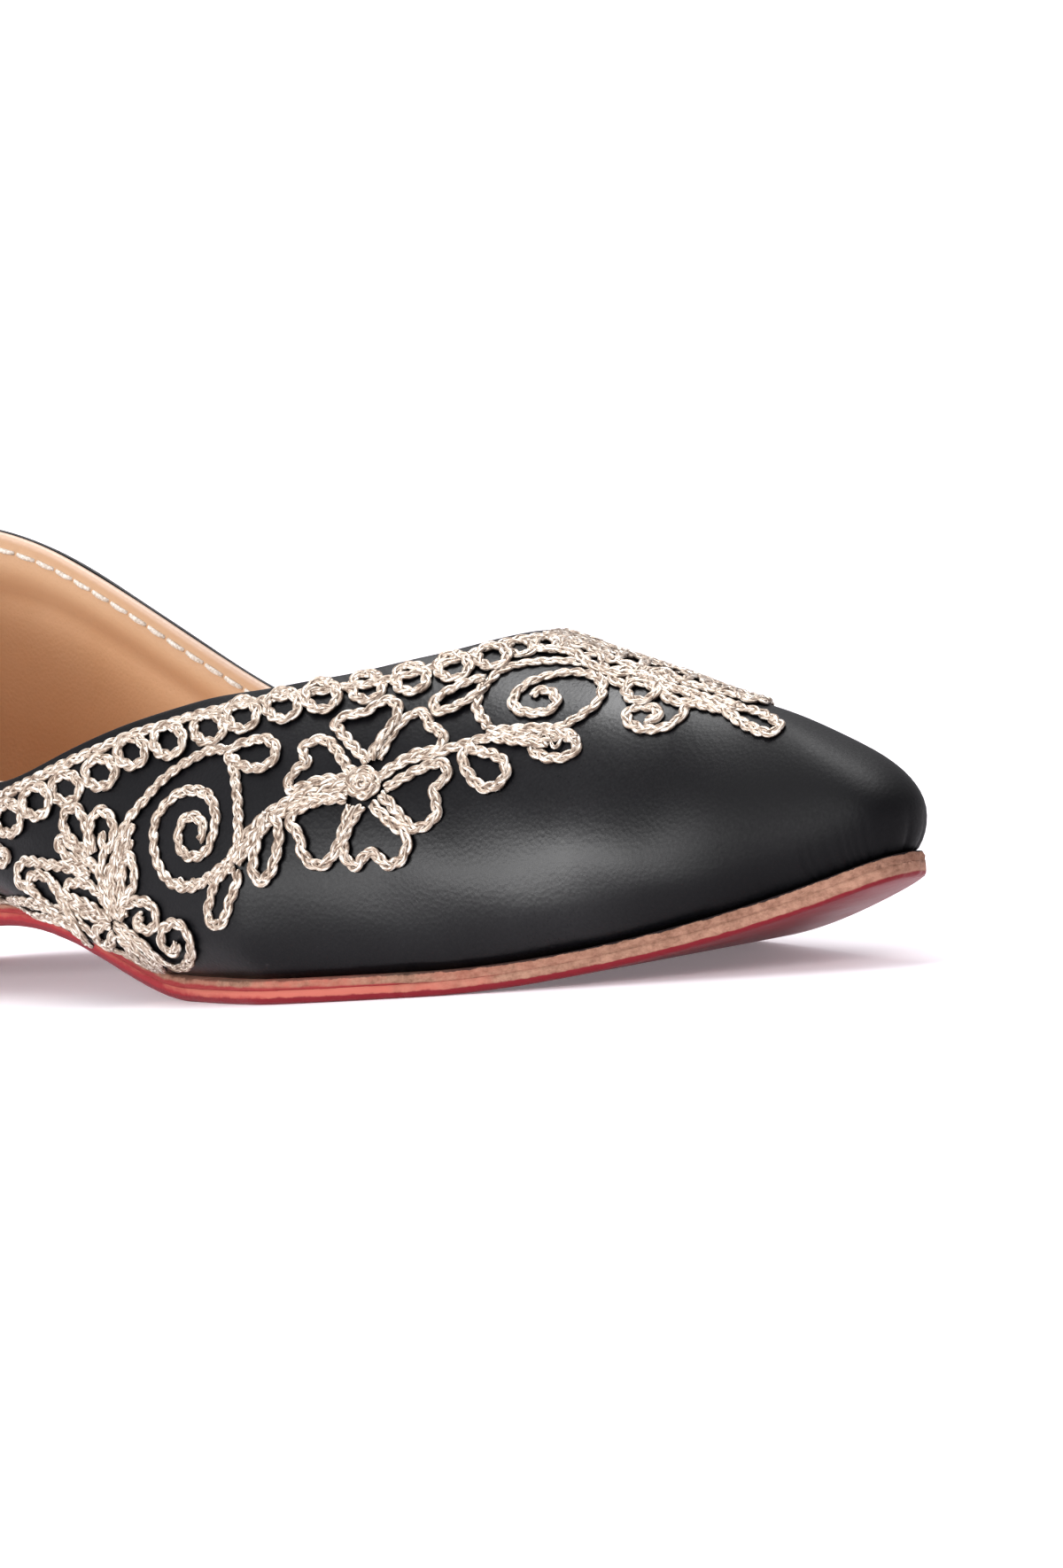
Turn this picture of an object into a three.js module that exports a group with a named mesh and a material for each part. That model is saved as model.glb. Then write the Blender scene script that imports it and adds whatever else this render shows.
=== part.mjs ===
// Women's flat mojari: a low-cut slipper of black leather on a thin leather sole.
// Millimetres. The toe points along +X, +Z is up, and the floor is z = 0.
// The last is straight, so the shoe is the same on both sides of the XZ plane.

import * as THREE from 'three';
import { mergeVertices } from 'three/addons/utils/BufferGeometryUtils.js';

// Lengthwise places.
const toeX = 125;
const heelX = -125;
const ballX = 21;
const seatX = -92;
const throatX = 47;

// Outline of the sole, as half widths.
const ballHalf = 39;
const seatHalf = 28;
const waistPinch = 6.5;
const waistPinchPower = 1.5;
const heelRoundPower = 2.2;
const almondPower = 1.3;
const flankExponent = 1;
const noseExponent = 0.5;
const nosePower = 6;

// Underside line of the sole.
const toeSpring = 13;
const springX = 50;
const springPower = 1.75;
const heelRaise = 9.5;
const raiseRun = 55;
const archRise = 1.5;
const archRun = 85;

// Thicknesses.
const outsoleThick = 2;
const randThick = 1.2;
const wallThick = 2.2;
const insoleThick = 2;
const gap = 0.3;
const seatHeight = outsoleThick + gap + randThick + gap;

// How the upper turns in under itself to the sole.
const featherLedge = 1.8;
const foldStart = THREE.MathUtils.degToRad(35);
const quarterTurn = Math.PI / 2;
const wideLevel = 8;

// Cross sections of the upper are superellipses, squarer at the heel and at the toe.
const sidePower = 1.7;
const crownPower = 1.95;

// The crown line ends in a fan of sections at the toe and at the heel.
const toeFanStart = 62;
const toeFanEnd = 98;
const heelFanStart = 80;
const heelFanEnd = 100;

// Edges of the sole and of the heel.
const soleBevel = 0.8;
const soleBevelRise = 0.6;
const randInset = 0.3;
const heelInset = 1.4;
const heelTaper = 1.2;
const heelFrontX = -99;
const heelFullX = -113;
const insoleFrontX = 119;

// Mesh divisions.
const toeStations = 18;
const bodyStations = 34;
const foldRows = 4;
const riseRows = 8;
const heelStations = 14;
const slopeStep = 0.2;
const mergeWithin = 0.0001;

// Height of the crown over the floor; behind the throat it only guides the walls.
const crownRows = [
  { x: -125, z: 97 },
  { x: -70, z: 95 },
  { x: -10, z: 61 },
  { x: 30, z: 54.3 },
  { x: 60, z: 47.7 },
  { x: 90, z: 40.5 },
  { x: 110, z: 36 },
  { x: 125, z: 34 },
];

// Height of the topline over the floor, from the heel to just behind the throat.
const toplineRows = [
  { x: -125, z: 70 },
  { x: -92, z: 63.5 },
  { x: -60, z: 44.5 },
  { x: -34, z: 33.8 },
  { x: -18, z: 38.3 },
  { x: -3, z: 43.3 },
  { x: 22, z: 46.8 },
  { x: 37, z: 48.8 },
];

// How far the widest line of the upper stands out over the edge of the sole.
const swellRows = [
  { x: -125, out: 0.8 },
  { x: -92, out: 1.4 },
  { x: -30, out: 12 },
  { x: 30, out: 0.7 },
  { x: 75, out: 1.4 },
  { x: 108, out: 1.3 },
  { x: 125, out: 0.8 },
];

// Share of wideLevel at which the upper is widest, and the extra squareness of its sections.
const levelRows = [
  { x: -125, share: 1.2 },
  { x: 30, share: 1 },
  { x: 125, share: 0.75 },
];
const squareRows = [
  { x: -125, extra: 0.6 },
  { x: -70, extra: 0.55 },
  { x: 0, extra: 0 },
  { x: 90, extra: 0 },
  { x: 125, extra: 0.7 },
];

// A natural cubic spline through one column of a table.
function smoothCurve(rows, column) {
  const n = rows.length;
  const bend = new Array(n).fill(0);
  const carry = new Array(n).fill(0);
  for (let i = 1; i < n - 1; i++) {
    const before = rows[i].x - rows[i - 1].x;
    const after = rows[i + 1].x - rows[i].x;
    const slopeBefore = (rows[i][column] - rows[i - 1][column]) / before;
    const slopeAfter = (rows[i + 1][column] - rows[i][column]) / after;
    const pivot = 2 * (before + after) - before * carry[i - 1];
    carry[i] = after / pivot;
    bend[i] = (6 * (slopeAfter - slopeBefore) - before * bend[i - 1]) / pivot;
  }
  for (let i = n - 2; i > 0; i--) bend[i] -= carry[i] * bend[i + 1];
  return (x) => {
    let i = 0;
    while (i < n - 2 && x > rows[i + 1].x) i++;
    const step = rows[i + 1].x - rows[i].x;
    const a = (rows[i + 1].x - x) / step;
    const b = 1 - a;
    const curved = ((a ** 3 - a) * bend[i] + (b ** 3 - b) * bend[i + 1]) * step * step / 6;
    return a * rows[i][column] + b * rows[i + 1][column] + curved;
  };
}

// Straight lines through one column of a table.
function straightCurve(rows, column) {
  return (x) => {
    let i = 0;
    while (i < rows.length - 2 && x > rows[i + 1].x) i++;
    const share = THREE.MathUtils.clamp((x - rows[i].x) / (rows[i + 1].x - rows[i].x), 0, 1);
    return THREE.MathUtils.lerp(rows[i][column], rows[i + 1][column], share);
  };
}

const crownHeight = smoothCurve(crownRows, 'z');
const throatRow = { x: throatX, z: crownHeight(throatX) };
const toplineHeight = smoothCurve([...toplineRows, throatRow], 'z');
const swellOut = smoothCurve(swellRows, 'out');
const levelShare = straightCurve(levelRows, 'share');
const squareExtra = straightCurve(squareRows, 'extra');

// Half width of the sole at x.
function halfWidth(x) {
  if (x > ballX) {
    const share = Math.min((x - ballX) / (toeX - ballX), 1);
    const exponent = THREE.MathUtils.lerp(flankExponent, noseExponent, share ** nosePower);
    return ballHalf * (1 - share ** almondPower) ** exponent;
  }
  if (x < seatX) {
    const share = Math.min((seatX - x) / (seatX - heelX), 1);
    return seatHalf * Math.sqrt(1 - share ** heelRoundPower);
  }
  const share = (x - seatX) / (ballX - seatX);
  const pinch = waistPinch * (4 * share * (1 - share)) ** waistPinchPower;
  return THREE.MathUtils.lerp(seatHalf, ballHalf, THREE.MathUtils.smoothstep(share, 0, 1)) - pinch;
}

// Height of the sole's underside over the floor: flat under the ball, raised at toe and heel.
function underside(x) {
  const toeShare = Math.max((x - springX) / (toeX - springX), 0);
  const raise = heelRaise * THREE.MathUtils.smoothstep(-x, 0, raiseRun);
  const archShare = THREE.MathUtils.clamp((x + archRun) / archRun, 0, 1);
  const arch = archRise * Math.sin(Math.PI * archShare) ** 2;
  return toeSpring * toeShare ** springPower + raise + arch;
}

// A value that follows x and then eases towards a limit.
function easeToLimit(x, start, end) {
  const run = end - start;
  return x > start ? start + run * (1 - Math.exp((start - x) / run)) : x;
}

// Stations along the near side, from the toe to the heel, close together at both and at the throat.
function stationList() {
  const list = [];
  for (let i = 0; i < toeStations; i++) {
    list.push(throatX + (toeX - throatX) * Math.cos(quarterTurn * i / toeStations));
  }
  for (let i = 0; i <= bodyStations; i++) {
    list.push(throatX - (throatX - heelX) * (1 - Math.cos(Math.PI * i / bodyStations)) / 2);
  }
  return list;
}

// One station of the outline: its edge point on the near side and its outward direction.
function outlineStation(x) {
  const edge = new THREE.Vector2(x, -halfWidth(x));
  if (x >= toeX) return { x, edge, out: new THREE.Vector2(1, 0) };
  if (x <= heelX) return { x, edge, out: new THREE.Vector2(-1, 0) };
  const step = Math.min(slopeStep, (toeX - x) / 2, (x - heelX) / 2);
  const slope = (halfWidth(x + step) - halfWidth(x - step)) / (2 * step);
  return { x, edge, out: new THREE.Vector2(-slope, -1).normalize() };
}

const stations = stationList().map(outlineStation);

// A closed ring from near-side points: down the near side and back along the mirrored far side.
function mirroredRing(nearPoints) {
  const far = nearPoints.slice(1, -1).reverse();
  return [...nearPoints, ...far.map((p) => new THREE.Vector3(p.x, -p.y, p.z))];
}

// A ring that follows the outline, drawn in by inset, at a height over the underside.
function soleRing(inset, height) {
  return mirroredRing(stations.map(({ edge, out }) => {
    const flat = edge.clone().addScaledVector(out, -inset);
    return new THREE.Vector3(flat.x, flat.y, underside(flat.x) + height);
  }));
}

// The near-side section of the upper at one station, from the featherline up to the topline.
function upperSection({ x, edge, out }) {
  const wide = edge.clone().addScaledVector(out, swellOut(x));
  const feather = edge.clone().addScaledVector(out, -featherLedge);
  const crownX = -easeToLimit(-easeToLimit(x, toeFanStart, toeFanEnd), heelFanStart, heelFanEnd);
  const crown = new THREE.Vector2(crownX, 0);
  const seatZ = underside(feather.x) + seatHeight;
  const wideZ = underside(x) + seatHeight + wideLevel * levelShare(x);
  const points = [];
  for (let j = 0; j <= foldRows; j++) {
    const turn = THREE.MathUtils.lerp(foldStart, quarterTurn, j / foldRows);
    const inward = (1 - Math.sin(turn)) / (1 - Math.sin(foldStart));
    const flat = wide.clone().lerp(feather, inward);
    const z = wideZ - (wideZ - seatZ) * Math.cos(turn) / Math.cos(foldStart);
    points.push(new THREE.Vector3(flat.x, flat.y, z));
  }
  const open = x < throatX - mergeWithin;
  const rise = (toplineHeight(x) - wideZ) / (crownHeight(x) - wideZ);
  const topAngle = open ? Math.asin(rise ** (crownPower / 2)) : quarterTurn;
  for (let j = 1; j <= riseRows; j++) {
    const angle = topAngle * j / riseRows;
    const closed = !open && j === riseRows;
    const reach = closed ? 0 : Math.cos(angle) ** (2 / (sidePower + squareExtra(x)));
    const flat = crown.clone().lerp(wide, reach);
    const lift = Math.sin(angle) ** (2 / crownPower);
    const z = wideZ + (crownHeight(flat.x) - wideZ) * lift;
    points.push(new THREE.Vector3(flat.x, closed ? 0 : flat.y, z));
  }
  return points;
}

// Quads between two rings of the same length; the list tells which columns are joined.
function joinRings(faces, low, high, count, joined) {
  for (let i = 0; i < count; i++) {
    if (!joined(i)) continue;
    const next = (i + 1) % count;
    faces.push([low + i, high + next, low + next], [low + i, high + i, high + next]);
  }
}

// A closed mesh from points and triangles whose faces look outward.
function closedGeometry(points, faces) {
  const geometry = new THREE.BufferGeometry().setFromPoints(points);
  geometry.setIndex(faces.flat());
  const merged = mergeVertices(geometry, mergeWithin);
  merged.computeVertexNormals();
  return merged;
}

// A solid slab from a stack of rings, closed below and above by strips across the shoe.
function stackedSlab(rings) {
  const count = rings[0].length;
  const points = rings.flat();
  const faces = [];
  for (let r = 0; r + 1 < rings.length; r++) {
    joinRings(faces, r * count, (r + 1) * count, count, () => true);
  }
  const top = (rings.length - 1) * count;
  const half = count / 2;
  for (let i = 0; i < half; i++) {
    const far = (count - i) % count;
    const nextFar = count - i - 1;
    faces.push([far, i + 1, nextFar], [far, i, i + 1]);
    faces.push([top + far, top + nextFar, top + i + 1], [top + far, top + i + 1, top + i]);
  }
  return closedGeometry(points, faces.filter(([a, b, c]) => a !== b && b !== c && c !== a));
}

// The outward direction at each point of the upper's outer face, the same on both sides.
function outwardDirections(points, faces) {
  const geometry = new THREE.BufferGeometry().setFromPoints(points);
  geometry.setIndex(faces.flat());
  geometry.computeVertexNormals();
  const normal = geometry.getAttribute('normal');
  const sums = new Map();
  const keyOf = (p) => `${p.x.toFixed(3)} ${p.y.toFixed(3)} ${p.z.toFixed(3)}`;
  points.forEach((p, i) => {
    const sum = sums.get(keyOf(p)) ?? new THREE.Vector3();
    sums.set(keyOf(p), sum.add(new THREE.Vector3().fromBufferAttribute(normal, i)));
  });
  return points.map((p) => sums.get(keyOf(p)).clone().normalize());
}

// The upper: an outer face and an inner face one wall apart, joined at the topline and underneath.
function upperGeometry() {
  const sections = stations.map(upperSection);
  const rows = foldRows + riseRows + 1;
  const rings = Array.from({ length: rows }, (_, j) => mirroredRing(sections.map((s) => s[j])));
  const count = rings[0].length;
  const outer = rings.flat();
  const outerFaces = [];
  for (let j = 0; j + 1 < rows; j++) {
    joinRings(outerFaces, j * count, (j + 1) * count, count, () => true);
  }
  const outward = outwardDirections(outer, outerFaces);
  const inner = outer.map((p, i) => {
    if (i >= count) return p.clone().addScaledVector(outward[i], -wallThick);
    const flatOut = new THREE.Vector3(outward[i].x, outward[i].y, 0).normalize();
    const foot = p.clone().addScaledVector(flatOut, -wallThick);
    return foot.setZ(underside(foot.x) + seatHeight);
  });
  const faces = [...outerFaces];
  for (const [a, b, c] of outerFaces) faces.push([a + outer.length, c + outer.length, b + outer.length]);
  joinRings(faces, outer.length, 0, count, () => true);
  const top = (rows - 1) * count;
  const isOpen = (i) => i >= toeStations && i < count - toeStations;
  joinRings(faces, top, top + outer.length, count, isOpen);
  return closedGeometry([...outer, ...inner], faces);
}

// Horizontal place of the upper's inner wall at a height over the seat.
function innerWall({ x, edge, out }, height) {
  const rise = wideLevel * levelShare(x);
  const total = swellOut(x) + featherLedge;
  const cosTurn = Math.cos(foldStart) * Math.max(1 - height / rise, 0);
  const sinTurn = Math.sqrt(1 - cosTurn ** 2);
  const inward = total * (1 - sinTurn) / (1 - Math.sin(foldStart));
  const sideways = total * cosTurn / (1 - Math.sin(foldStart));
  const upward = rise * sinTurn / Math.cos(foldStart);
  const slant = Math.hypot(sideways, upward) / upward;
  return edge.clone().addScaledVector(out, swellOut(x) - inward - (wallThick + 2 * gap) * slant);
}

// The insole fills the floor of the upper, with its edge against the inner wall and a blunt front.
function insoleGeometry() {
  const behindFront = stations.filter(({ x }) => x < insoleFrontX);
  const ring = (height) => {
    const side = behindFront.map((station) => innerWall(station, height));
    const front = new THREE.Vector2(side[0].x, 0);
    const level = (flat) => new THREE.Vector3(flat.x, flat.y, underside(flat.x) + seatHeight + height);
    return mirroredRing([front, ...side].map(level));
  };
  return stackedSlab([ring(0), ring(insoleThick)]);
}

// The outsole: the full outline, with its lower edge bevelled.
function outsoleGeometry() {
  return stackedSlab([
    soleRing(soleBevel, 0),
    soleRing(0, soleBevelRise),
    soleRing(0, outsoleThick),
  ]);
}

// The rand: a thin layer between outsole and upper.
function randGeometry() {
  const low = outsoleThick + gap;
  return stackedSlab([soleRing(randInset, low), soleRing(randInset, low + randThick)]);
}

// The heel: a low block with a round front under the back of the seat, drawn in towards the floor.
function heelGeometry() {
  const front = Array.from({ length: heelStations }, (_, i) => {
    const angle = quarterTurn * i / heelStations;
    const x = heelFullX + (heelFrontX - heelFullX) * Math.cos(angle);
    const edge = new THREE.Vector2(x, -halfWidth(heelFullX) * Math.sin(angle));
    const out = new THREE.Vector2(Math.cos(angle), -Math.sin(angle));
    return { edge, out };
  });
  const back = Array.from({ length: heelStations + 1 }, (_, i) => {
    const angle = quarterTurn * i / heelStations;
    return outlineStation(heelFullX - (heelFullX - heelX) * Math.sin(angle));
  });
  const ring = (inset, heightAt) => mirroredRing([...front, ...back].map(({ edge, out }) => {
    const flat = edge.clone().addScaledVector(out, -inset);
    return new THREE.Vector3(flat.x, flat.y, heightAt(flat.x));
  }));
  return stackedSlab([
    ring(heelInset + heelTaper, () => 0),
    ring(heelInset, (x) => underside(x) - gap),
  ]);
}

function leatherMesh(name, geometry, color, roughness) {
  const material = new THREE.MeshStandardMaterial({ color, roughness, metalness: 0 });
  const mesh = new THREE.Mesh(geometry, material);
  mesh.name = name;
  return mesh;
}

const mojari = new THREE.Group();
mojari.add(leatherMesh('upper', upperGeometry(), 0x3a3a3c, 0.5));
mojari.add(leatherMesh('insole', insoleGeometry(), 0xb37d57, 0.65));
mojari.add(leatherMesh('rand', randGeometry(), 0x9f7664, 0.85));
mojari.add(leatherMesh('outsole', outsoleGeometry(), 0x882c33, 0.45));
mojari.add(leatherMesh('heel', heelGeometry(), 0x9f5a4c, 0.55));

export default mojari;
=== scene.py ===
import math
import random

import bmesh
import bpy
import numpy as np
from mathutils import Matrix, Vector
from mathutils.bvhtree import BVHTree


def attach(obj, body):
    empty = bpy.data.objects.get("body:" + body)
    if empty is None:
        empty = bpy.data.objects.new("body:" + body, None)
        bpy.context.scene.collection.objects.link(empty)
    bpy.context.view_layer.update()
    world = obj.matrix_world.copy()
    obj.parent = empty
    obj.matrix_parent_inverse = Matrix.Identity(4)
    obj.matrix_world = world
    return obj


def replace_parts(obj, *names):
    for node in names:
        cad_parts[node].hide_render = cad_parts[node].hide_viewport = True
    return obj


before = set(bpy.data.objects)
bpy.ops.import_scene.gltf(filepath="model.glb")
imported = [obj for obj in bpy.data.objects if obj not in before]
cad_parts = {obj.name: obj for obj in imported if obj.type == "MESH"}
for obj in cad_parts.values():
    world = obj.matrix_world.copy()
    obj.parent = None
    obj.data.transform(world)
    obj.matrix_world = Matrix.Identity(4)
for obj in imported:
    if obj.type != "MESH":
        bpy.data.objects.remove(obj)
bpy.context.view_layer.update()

mm = 0.001
print("frame loaded:", sorted(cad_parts))


# The camera, in millimetres and degrees, and how far a photo pixel reaches at its target
view = {
    "azimuth": 48.76,
    "elevation": 4.43,
    "roll": -6.34,
    "distance": 2769.0,
    "target": (43.39, 0.0, 27.86),
    "pixelsPerMm": 7.531,
    "photoWide": 1200,
    "photoHigh": 1770,
    "nudges": range(0, 30, 2),    # pixels downward, where a line lies just over the edge
    "sensor": 36.0,
}


def placed(name, data):
    thing = bpy.data.objects.new(name, data)
    bpy.context.collection.objects.link(thing)
    return thing


def cameraAxes():
    turn = math.radians(view["azimuth"])
    lift = math.radians(view["elevation"])
    roll = math.radians(view["roll"])
    back = Vector((math.sin(turn) * math.cos(lift), -math.cos(turn) * math.cos(lift), math.sin(lift)))
    level = Vector((math.cos(turn), math.sin(turn), 0))
    rise = back.cross(level)
    right = level * math.cos(roll) + rise * math.sin(roll)
    up = rise * math.cos(roll) - level * math.sin(roll)
    return right, up, back


def addCamera():
    right, up, back = cameraAxes()
    data = bpy.data.cameras.new("camera")
    data.sensor_width = view["sensor"]
    data.lens = view["pixelsPerMm"] * view["distance"] / view["photoHigh"] * view["sensor"]
    data.clip_start = 0.05
    data.clip_end = 50
    camera = placed("camera", data)
    place = (Vector(view["target"]) + back * view["distance"]) * mm
    camera.matrix_world = Matrix.Translation(place) @ Matrix((right, up, back)).transposed().to_4x4()
    bpy.context.scene.camera = camera


addCamera()


# The last, in millimetres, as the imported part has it
last = {
    "toeX": 125.0,
    "heelX": -125.0,
    "ballX": 21.0,
    "seatX": -92.0,
    "throatX": 47.0,
    "ballHalf": 39.0,
    "seatHalf": 28.0,
    "waistPinch": 6.5,
    "waistPinchPower": 1.5,
    "heelRoundPower": 2.2,
    "almondPower": 1.3,
    "flankExponent": 1.0,
    "noseExponent": 0.5,
    "nosePower": 6,
    "toeSpring": 13.0,
    "springX": 50.0,
    "springPower": 1.75,
    "heelRaise": 9.5,
    "raiseRun": 55.0,
    "archRise": 1.5,
    "archRun": 85.0,
    "seatHeight": 3.8,
    "featherLedge": 1.8,
    "foldStart": math.radians(35),
    "wideLevel": 8.0,
    "sidePower": 1.7,
    "crownPower": 1.95,
    "toeFan": (62.0, 98.0),
    "heelFan": (80.0, 100.0),
    "crown": ((-125, 97), (-70, 95), (-10, 61), (30, 54.3), (60, 47.7), (90, 40.5), (110, 36), (125, 34)),
    "topline": ((-125, 70), (-92, 63.5), (-60, 44.5), (-34, 33.8), (-18, 38.3), (-3, 43.3),
                (22, 46.8), (37, 48.8)),
    "swell": ((-125, 0.8), (-92, 1.4), (-30, 12), (30, 0.7), (75, 1.4), (108, 1.3), (125, 0.8)),
    "level": ((-125, 1.2), (30, 1), (125, 0.75)),
    "square": ((-125, 0.6), (-70, 0.55), (0, 0), (90, 0), (125, 0.7)),
    "outlineStep": 0.2,
}


def smoothCurve(rows):    # natural cubic spline
    xs, ys = np.array(rows, dtype=float).T
    n = len(xs)
    gaps = np.diff(xs)
    slopes = np.diff(ys) / gaps
    matrix = np.eye(n)
    turns = np.zeros(n)
    for i in range(1, n - 1):
        matrix[i, i - 1:i + 2] = gaps[i - 1], 2 * (gaps[i - 1] + gaps[i]), gaps[i]
        turns[i] = 6 * (slopes[i] - slopes[i - 1])
    bend = np.linalg.solve(matrix, turns)

    def at(x):
        i = min(max(int(np.searchsorted(xs, x)) - 1, 0), n - 2)
        b = (x - xs[i]) / gaps[i]
        a = 1 - b
        curved = ((a ** 3 - a) * bend[i] + (b ** 3 - b) * bend[i + 1]) * gaps[i] ** 2 / 6
        return float(a * ys[i] + b * ys[i + 1] + curved)
    return at


def straightCurve(rows):
    xs = [row[0] for row in rows]
    ys = [row[1] for row in rows]
    return lambda x: float(np.interp(x, xs, ys))


crownHeight = smoothCurve(last["crown"])
toplineHeight = smoothCurve(last["topline"] + ((last["throatX"], crownHeight(last["throatX"])),))
swellOut = smoothCurve(last["swell"])
levelShare = straightCurve(last["level"])
squareExtra = straightCurve(last["square"])


def smoothStep(share):
    share = min(max(share, 0.0), 1.0)
    return share * share * (3 - 2 * share)


def halfWidth(x):
    if x > last["ballX"]:
        share = min((x - last["ballX"]) / (last["toeX"] - last["ballX"]), 1)
        blend = share ** last["nosePower"]
        exponent = last["flankExponent"] + (last["noseExponent"] - last["flankExponent"]) * blend
        return last["ballHalf"] * (1 - share ** last["almondPower"]) ** exponent
    if x < last["seatX"]:
        share = min((last["seatX"] - x) / (last["seatX"] - last["heelX"]), 1)
        return last["seatHalf"] * math.sqrt(max(1 - share ** last["heelRoundPower"], 0))
    share = (x - last["seatX"]) / (last["ballX"] - last["seatX"])
    pinch = last["waistPinch"] * (4 * share * (1 - share)) ** last["waistPinchPower"]
    return last["seatHalf"] + (last["ballHalf"] - last["seatHalf"]) * smoothStep(share) - pinch


def underside(x):
    toeShare = max((x - last["springX"]) / (last["toeX"] - last["springX"]), 0)
    archShare = min(max((x + last["archRun"]) / last["archRun"], 0), 1)
    raised = last["heelRaise"] * smoothStep(-x / last["raiseRun"])
    arch = last["archRise"] * math.sin(math.pi * archShare) ** 2
    return last["toeSpring"] * toeShare ** last["springPower"] + raised + arch


def easeToLimit(x, start, end):
    run = end - start
    return start + run * (1 - math.exp((start - x) / run)) if x > start else x


def outlineStation(x):    # the sole's edge point on the near side and its outward direction
    edge = Vector((x, -halfWidth(x)))
    if x >= last["toeX"]:
        return edge, Vector((1, 0))
    if x <= last["heelX"]:
        return edge, Vector((-1, 0))
    step = min(last["outlineStep"], (last["toeX"] - x) / 2, (x - last["heelX"]) / 2)
    slope = (halfWidth(x + step) - halfWidth(x - step)) / (2 * step)
    return edge, Vector((-slope, -1)).normalized()


# How finely the skins are divided
division = {
    "foldRows": 12,
    "riseRows": 60,
    "toeStations": 120,
    "bodyStations": 150,
    "rows": 40,
    "topDrops": (0, 0.5, 1.1, 1.8, 2.6, 3.4, 4.2, 5.2, 6.4),    # mm below the topline
    "weld": 0.004,
}


def upperSection(x):    # near-side section line, from the featherline up to the topline
    foldRows = division["foldRows"]
    riseRows = division["riseRows"]
    edge, out = outlineStation(x)
    wide = edge + out * swellOut(x)
    feather = edge - out * last["featherLedge"]
    crown = Vector((-easeToLimit(-easeToLimit(x, *last["toeFan"]), *last["heelFan"]), 0))
    seatZ = underside(feather.x) + last["seatHeight"]
    wideZ = underside(x) + last["seatHeight"] + last["wideLevel"] * levelShare(x)
    start = last["foldStart"]
    points = []
    for j in range(foldRows + 1):
        turn = start + (math.pi / 2 - start) * j / foldRows
        inward = (1 - math.sin(turn)) / (1 - math.sin(start))
        flat = wide.lerp(feather, inward)
        points.append((flat.x, flat.y, wideZ - (wideZ - seatZ) * math.cos(turn) / math.cos(start)))
    isOpen = x < last["throatX"] - 1e-6
    rise = (toplineHeight(x) - wideZ) / (crownHeight(x) - wideZ)
    topAngle = math.asin(rise ** (last["crownPower"] / 2)) if isOpen else math.pi / 2
    for j in range(1, riseRows + 1):
        angle = topAngle * j / riseRows
        closed = not isOpen and j == riseRows
        reach = 0 if closed else math.cos(angle) ** (2 / (last["sidePower"] + squareExtra(x)))
        flat = crown.lerp(wide, reach)
        z = wideZ + (crownHeight(flat.x) - wideZ) * math.sin(angle) ** (2 / last["crownPower"])
        points.append((flat.x, 0 if closed else flat.y, z))
    return np.array(points)


def stationList():
    toe = division["toeStations"]
    body = division["bodyStations"]
    reach = last["toeX"] - last["throatX"]
    behind = last["throatX"] - last["heelX"]
    front = [reach * math.cos(math.pi / 2 * i / toe) for i in range(toe)]
    back = [-behind * (1 - math.cos(math.pi * i / body)) / 2 for i in range(body + 1)]
    return [last["throatX"] + along for along in front + back]


def runAlong(line):    # how far each point lies from the first, along the line
    return np.concatenate([[0], np.cumsum(np.linalg.norm(np.diff(line, axis=0), axis=1))])


def unit(rows):
    return rows / np.maximum(np.linalg.norm(rows, axis=-1, keepdims=True), 1e-9)


def alongLine(line, distances):    # points at distances measured from the line's first point
    run = runAlong(line)
    return np.stack([np.interp(distances, run, line[:, k]) for k in range(3)], axis=1), run[-1]


def resampledSection(x):    # rows close together under the topline, then even down to the featherline
    line = upperSection(x)[::-1]
    drops = division["topDrops"]
    length = alongLine(line, [0])[1]
    rest = division["rows"] - len(drops) + 1
    even = [drops[-1] + (length - drops[-1]) * k / rest for k in range(1, rest + 1)]
    return alongLine(line, list(drops) + even)[0][::-1]


stations = stationList()
firstOpen = division["toeStations"]
sections = np.array([resampledSection(x) for x in stations])


def mirrored(near):    # near side from toe to heel, then back along the far side; rows first
    far = near[:, -2:0:-1] * np.array([1, -1, 1])
    return np.concatenate([near, far], axis=1)


def outward(grid):    # unit normals of a closed grid of rings, rows from the bottom up
    along = np.roll(grid, -1, axis=1) - np.roll(grid, 1, axis=1)
    upward = np.gradient(grid, axis=0)
    return unit(np.cross(upward, along))


outerGrid = mirrored(sections.transpose(1, 0, 2))
outerNormal = outward(outerGrid)
ringCount = outerGrid.shape[1]
if (outerNormal[:, ringCount // 4, 1] > 0).mean() > 0.5:
    outerNormal = -outerNormal
openColumn = [firstOpen <= i < ringCount - firstOpen for i in range(ringCount)]
print("last divided:", outerGrid.shape)


def linkPiece(name, points, faces, finish, values=None, weld=0):
    mesh = bpy.data.meshes.new(name)
    mesh.from_pydata([tuple(float(c) * mm for c in p) for p in points], [], faces)
    for label, numbers in (values or {}).items():
        layer = mesh.attributes.new(label, "FLOAT", "POINT")
        layer.data.foreach_set("value", np.asarray(numbers, dtype=np.float32))
    work = bmesh.new()
    work.from_mesh(mesh)
    loose = [v for v in work.verts if not v.link_faces]
    bmesh.ops.delete(work, geom=loose, context="VERTS")
    if weld:
        bmesh.ops.remove_doubles(work, verts=work.verts, dist=weld * mm)
        bmesh.ops.dissolve_degenerate(work, edges=work.edges, dist=weld * mm)
    bmesh.ops.recalc_face_normals(work, faces=work.faces)
    work.to_mesh(mesh)
    work.free()
    mesh.polygons.foreach_set("use_smooth", [True] * len(mesh.polygons))
    mesh.materials.append(finish)
    piece = placed(name, mesh)
    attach(piece, "root")
    return piece


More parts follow.
